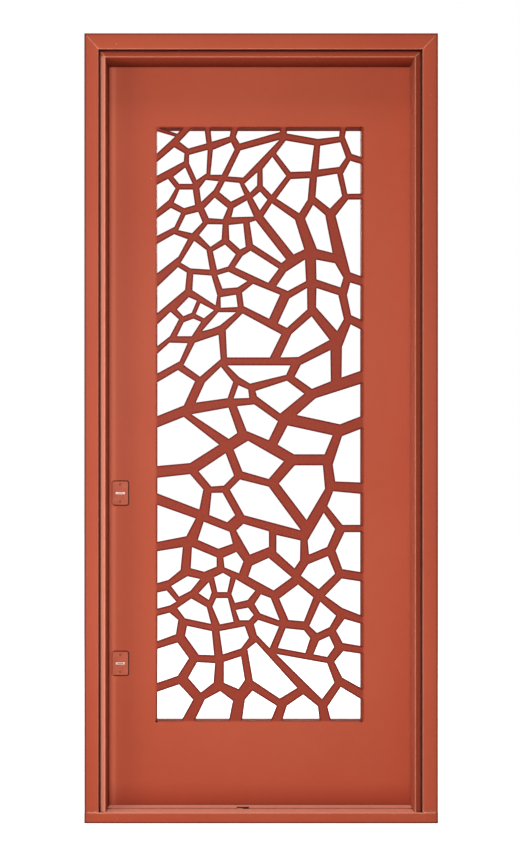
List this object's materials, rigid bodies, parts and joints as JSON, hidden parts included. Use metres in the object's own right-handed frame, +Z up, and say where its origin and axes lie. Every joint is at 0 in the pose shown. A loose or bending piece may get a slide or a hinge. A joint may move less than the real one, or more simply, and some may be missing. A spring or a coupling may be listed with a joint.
{
  "type": "laser-cut steel door",
  "caption": "Steel entrance door in a folded frame: a swinging leaf whose tall window is filled by a cracked-earth lattice cut straight through its front skin.",
  "frame": {"origin": "on the floor under the sill, on the leaf's centre line and midway through the frame's depth; the frame reaches 467.5 mm to the left of it and 472.5 mm to the right", "axes": "+Z up; -Y out of the outside face of the shut leaf; +X to the right seen from outside, where the hinges are"},
  "size_m": [0.94, 0.15, 2.1],
  "materials": {
    "frame_paint": "satin terracotta red powder coat",
    "leaf_paint": "satin terracotta red powder coat",
    "plate_paint": "satin terracotta red powder coat",
    "hinge_paint": "satin terracotta red powder coat",
    "pin_steel": "greased turned steel",
    "key_steel": "worn bare steel",
    "forend_steel": "zinc-plated steel"
  },
  "bodies": {
    "frame": {"head": "frame_paint", "hinge_bottom_frame_half": "hinge_paint", "hinge_bottom_pin": "pin_steel", "hinge_middle_frame_half": "hinge_paint", "hinge_middle_pin": "pin_steel", "hinge_top_frame_half": "hinge_paint", "hinge_top_pin": "pin_steel", "left_jamb": "frame_paint", "right_jamb": "frame_paint", "sill": "frame_paint", "strike_box_lower": "frame_paint", "strike_box_upper": "frame_paint"},
    "leaf": {"back_sheet": "leaf_paint", "bottom_rail": "leaf_paint", "front_sheet": "leaf_paint", "hinge_bottom_leaf_half": "hinge_paint", "hinge_middle_leaf_half": "hinge_paint", "hinge_stile": "leaf_paint", "hinge_top_leaf_half": "hinge_paint", "keyway_back_lower": "key_steel", "keyway_back_upper": "key_steel", "keyway_front_lower": "key_steel", "keyway_front_upper": "key_steel", "lock_bolts_lower": "key_steel", "lock_bolts_upper": "key_steel", "lock_case_lower": "forend_steel", "lock_case_upper": "forend_steel", "lock_forend_lower": "forend_steel", "lock_forend_upper": "forend_steel", "lock_plate_back_lower": "plate_paint", "lock_plate_back_upper": "plate_paint", "lock_plate_front_lower": "plate_paint", "lock_plate_front_upper": "plate_paint", "lock_stile": "leaf_paint", "top_rail": "leaf_paint", "window_bottom_return": "leaf_paint", "window_left_return": "leaf_paint", "window_right_return": "leaf_paint", "window_top_return": "leaf_paint"}
  },
  "joints": [
    {"name": "leaf_swing", "type": "hinge", "parent": "frame", "child": "leaf", "pos_m": [0.42425, 0.077, 1.04], "axis": [0, 0, -1], "range_deg": [0, 110]}
  ]
}
